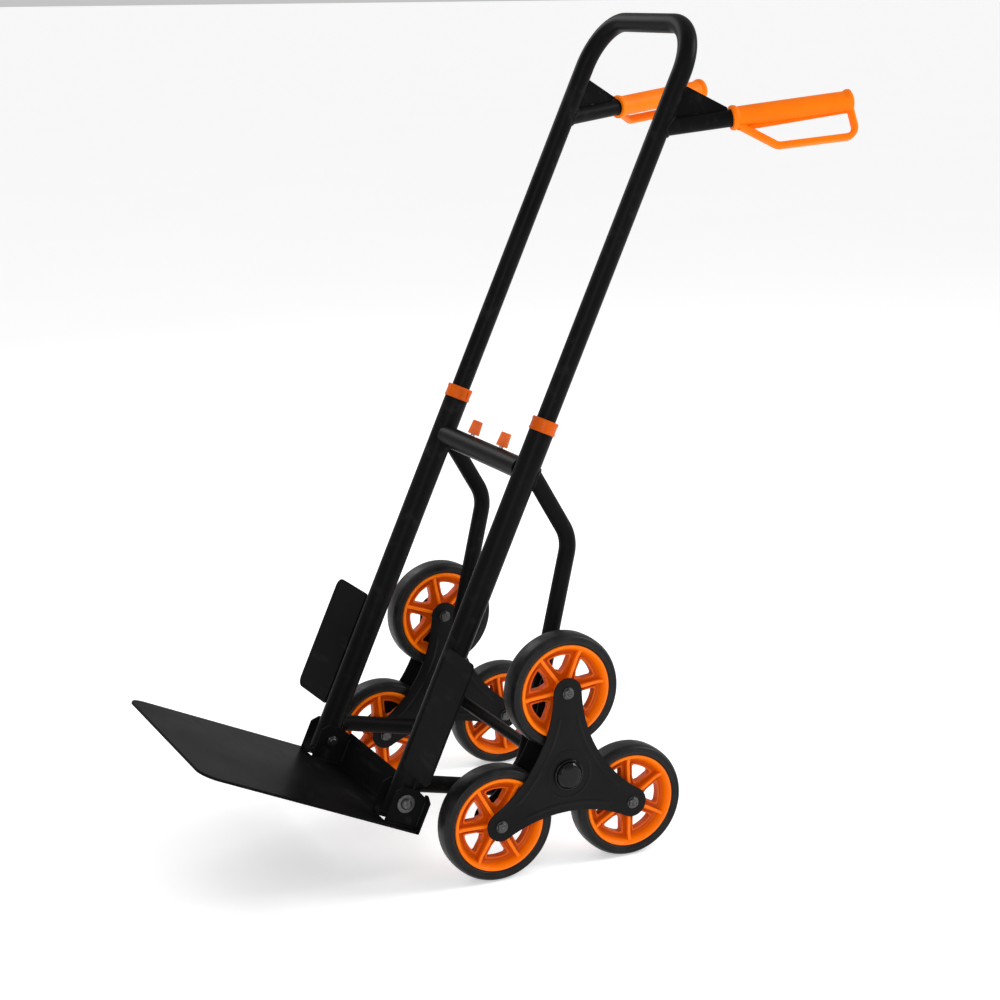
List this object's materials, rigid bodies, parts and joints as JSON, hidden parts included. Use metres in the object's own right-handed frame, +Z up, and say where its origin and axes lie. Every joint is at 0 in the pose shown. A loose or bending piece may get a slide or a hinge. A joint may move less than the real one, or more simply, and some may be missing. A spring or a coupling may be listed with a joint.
{
  "type": "folding stair-climbing hand truck",
  "caption": "Folding hand truck with a telescoping tube handle, rear hand grips, a fold-up toe plate and a rotating three-armed wheel cluster on each side.",
  "frame": {"origin": "on the floor, under the middle of the truck's box, with the frame leaning back on its axle and the wheels on the floor", "axes": "-Y to the front, where the toe plate is, +Y backward to the hand grips, +X to the right as someone in front of the toe plate sees it, and +Z up"},
  "size_m": [0.4518, 0.885, 1.0637],
  "materials": {
    "coat": "black powder coat",
    "stamped": "black painted steel sheet",
    "orange": "orange moulded plastic",
    "collar": "orange moulded plastic",
    "knob": "orange moulded plastic",
    "tyre": "black rubber",
    "bolt": "dark zinc-plated steel",
    "cap": "black moulded plastic",
    "zinc": "zinc-plated steel",
    "nylon": "pale moulded nylon"
  },
  "bodies": {
    "frame": {"cross_tube": "coat", "axle": "zinc", "latch_stop": "nylon", "left_rail": "coat", "left_brace": "coat", "left_fender": "coat", "left_rail_collar": "collar", "left_hinge_bolt": "bolt", "left_hinge_nut": "bolt", "left_axle_washer": "zinc", "left_latch_spring": "zinc", "right_rail": "coat", "right_brace": "coat", "right_fender": "coat", "right_rail_collar": "collar", "right_hinge_bolt": "bolt", "right_hinge_nut": "bolt", "right_axle_washer": "zinc", "right_latch_spring": "zinc"},
    "handle": {"handle_loop": "coat", "left_guide_bush": "nylon", "left_handle_stub": "coat", "left_gusset": "coat", "left_grip": "orange", "right_guide_bush": "nylon", "right_handle_stub": "coat", "right_gusset": "coat", "right_grip": "orange"},
    "toe": {"toe_plate": "coat"},
    "left_latch": {"left_latch_bolt": "zinc", "left_latch_knob": "knob"},
    "right_latch": {"right_latch_bolt": "zinc", "right_latch_knob": "knob"},
    "left_cluster": {"left_inner_star": "stamped", "left_outer_star": "stamped", "left_star_sleeve": "zinc", "left_hub_cap": "cap", "left_top_wheel_bolt": "bolt", "left_front_wheel_bolt": "bolt", "left_rear_wheel_bolt": "bolt"},
    "left_top_wheel": {"left_top_rim": "orange", "left_top_tyre": "tyre"},
    "left_front_wheel": {"left_front_rim": "orange", "left_front_tyre": "tyre"},
    "left_rear_wheel": {"left_rear_rim": "orange", "left_rear_tyre": "tyre"},
    "right_cluster": {"right_inner_star": "stamped", "right_outer_star": "stamped", "right_star_sleeve": "zinc", "right_hub_cap": "cap", "right_top_wheel_bolt": "bolt", "right_front_wheel_bolt": "bolt", "right_rear_wheel_bolt": "bolt"},
    "right_top_wheel": {"right_top_rim": "orange", "right_top_tyre": "tyre"},
    "right_front_wheel": {"right_front_rim": "orange", "right_front_tyre": "tyre"},
    "right_rear_wheel": {"right_rear_rim": "orange", "right_rear_tyre": "tyre"}
  },
  "joints": [
    {"name": "handle_slide", "type": "slide", "parent": "frame", "child": "handle", "axis": [0, -0.4099, -0.9121], "range_m": [0, 0.34]},
    {"name": "toe_fold", "type": "hinge", "parent": "frame", "child": "toe", "pos_m": [0, -0.17655, 0.10362], "axis": [-1, 0, 0], "range_deg": [0, 90]},
    {"name": "left_latch_pull", "type": "slide", "parent": "frame", "child": "left_latch", "axis": [1, 0, 0], "range_m": [0, 0.008], "stiffness_N_per_m": 800, "springref_m": -0.01, "deforming": ["left_latch_spring"]},
    {"name": "right_latch_pull", "type": "slide", "parent": "frame", "child": "right_latch", "axis": [-1, 0, 0], "range_m": [0, 0.008], "stiffness_N_per_m": 800, "springref_m": -0.01, "deforming": ["right_latch_spring"]},
    {"name": "left_cluster_spin", "type": "hinge", "parent": "frame", "child": "left_cluster", "pos_m": [-0.19, 0.02163, 0.1289], "axis": [1, 0, 0], "continuous": true},
    {"name": "left_top_wheel_spin", "type": "hinge", "parent": "left_cluster", "child": "left_top_wheel", "pos_m": [-0.19, 0.02163, 0.2367], "axis": [1, 0, 0], "continuous": true},
    {"name": "left_front_wheel_spin", "type": "hinge", "parent": "left_cluster", "child": "left_front_wheel", "pos_m": [-0.19, -0.07173, 0.075], "axis": [1, 0, 0], "continuous": true},
    {"name": "left_rear_wheel_spin", "type": "hinge", "parent": "left_cluster", "child": "left_rear_wheel", "pos_m": [-0.19, 0.11499, 0.075], "axis": [1, 0, 0], "continuous": true},
    {"name": "right_cluster_spin", "type": "hinge", "parent": "frame", "child": "right_cluster", "pos_m": [0.19, 0.02163, 0.1289], "axis": [1, 0, 0], "continuous": true},
    {"name": "right_top_wheel_spin", "type": "hinge", "parent": "right_cluster", "child": "right_top_wheel", "pos_m": [0.19, 0.02163, 0.2367], "axis": [1, 0, 0], "continuous": true},
    {"name": "right_front_wheel_spin", "type": "hinge", "parent": "right_cluster", "child": "right_front_wheel", "pos_m": [0.19, -0.07173, 0.075], "axis": [1, 0, 0], "continuous": true},
    {"name": "right_rear_wheel_spin", "type": "hinge", "parent": "right_cluster", "child": "right_rear_wheel", "pos_m": [0.19, 0.11499, 0.075], "axis": [1, 0, 0], "continuous": true}
  ]
}
